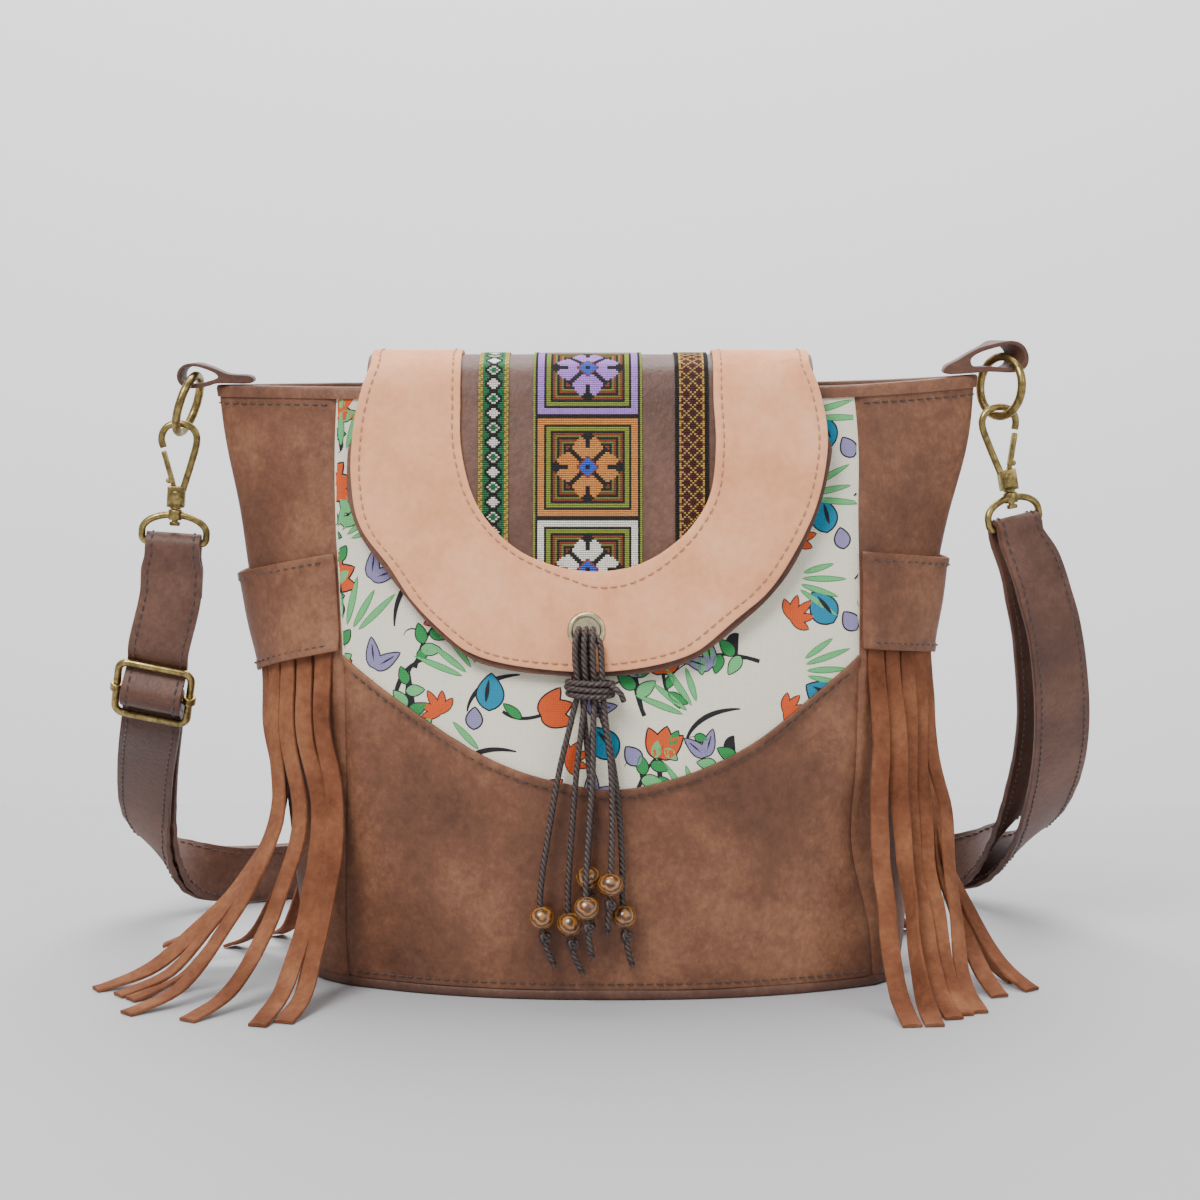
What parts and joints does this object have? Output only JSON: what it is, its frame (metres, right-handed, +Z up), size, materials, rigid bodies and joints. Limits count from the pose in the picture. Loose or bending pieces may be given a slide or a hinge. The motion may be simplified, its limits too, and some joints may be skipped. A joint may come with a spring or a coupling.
{
  "type": "crossbody bag",
  "caption": "Fringed crossbody bag with a flap, folded side gussets, beaded cord tassel and a doubled, adjustable strap on swivel hooks.",
  "frame": {"origin": "centre of the underside, on the ground", "axes": "+Z up, the flap faces -Y, +X to the right seen from the front"},
  "size_m": [0.4322, 0.2754, 0.2684],
  "materials": {
    "leather": "distressed brown faux leather, mottled, slight sheen",
    "dark_leather": "darker brown faux leather",
    "canvas": "cream woven canvas with a printed motif pattern",
    "nubuck": "tan nubuck, matt",
    "suede": "tan suede strips, matt",
    "embroidery": "cross-stitched woven band, matt",
    "green_ribbon": "woven ribbon with metallic edge",
    "red_ribbon": "woven ribbon with gold lattice",
    "antique_brass": "antique brass, worn",
    "pale_brass": "pale polished brass",
    "waxed_cord": "dark waxed cord",
    "wood": "glossy stained wood"
  },
  "bodies": {
    "bag": {"front_lower_panel": "leather", "front_canvas_panel": "canvas", "back_panel": "leather", "right_gusset": "leather", "left_gusset": "leather", "base_panel": "dark_leather", "rim_binding": "leather", "left_side_band": "leather", "right_side_band": "leather", "left_fringe": "suede", "right_fringe": "suede", "flap_backing": "dark_leather", "flap_overlay": "nubuck", "flap_centre_band": "embroidery", "flap_left_ribbon": "green_ribbon", "flap_right_ribbon": "red_ribbon", "eyelet": "pale_brass", "tassel_cord_1": "waxed_cord", "tassel_cord_2": "waxed_cord", "tassel_cord_3": "waxed_cord", "tassel_cord_4": "waxed_cord", "tassel_cord_5": "waxed_cord", "tassel_cord_6": "waxed_cord", "tassel_end_knot_1": "waxed_cord", "tassel_end_knot_2": "waxed_cord", "tassel_end_knot_3": "waxed_cord", "tassel_end_knot_4": "waxed_cord", "tassel_end_knot_5": "waxed_cord", "tassel_end_knot_6": "waxed_cord", "tassel_wrap_knot": "waxed_cord", "tassel_bead_1": "wood", "tassel_bead_2": "wood", "tassel_bead_3": "wood", "tassel_bead_4": "wood", "tassel_bead_5": "wood", "tassel_bead_6": "wood", "left_tab": "leather", "left_ring": "antique_brass", "left_swivel_loop": "antique_brass", "right_tab": "leather", "right_ring": "antique_brass", "right_swivel_loop": "antique_brass", "slider_frame": "antique_brass", "slider_bar": "antique_brass", "strap": "leather"},
    "left_hook": {"left_hook": "antique_brass"},
    "left_gate": {"left_gate": "antique_brass"},
    "right_hook": {"right_hook": "antique_brass"},
    "right_gate": {"right_gate": "antique_brass"}
  },
  "joints": [
    {"name": "left_hook_swivel", "type": "hinge", "parent": "bag", "child": "left_hook", "pos_m": [-0.1788, 0, 0.1984], "axis": [0.0698, 0, 0.9976], "range_deg": [-20, 20]},
    {"name": "left_gate_pivot", "type": "hinge", "parent": "left_hook", "child": "left_gate", "pos_m": [-0.17844, 0, 0.20359], "axis": [0, 1, 0], "range_deg": [0, 18], "stiffness_Nm_per_rad": 0.01, "springref_deg": -17.19},
    {"name": "right_hook_swivel", "type": "hinge", "parent": "bag", "child": "right_hook", "pos_m": [0.1724, 0, 0.2056], "axis": [-0.1701, 0, 0.9854], "range_deg": [-15, 20]},
    {"name": "right_gate_pivot", "type": "hinge", "parent": "right_hook", "child": "right_gate", "pos_m": [0.17152, 0, 0.21072], "axis": [0.2078, -0.9775, 0.0359], "range_deg": [0, 18], "stiffness_Nm_per_rad": 0.01, "springref_deg": -17.19}
  ]
}
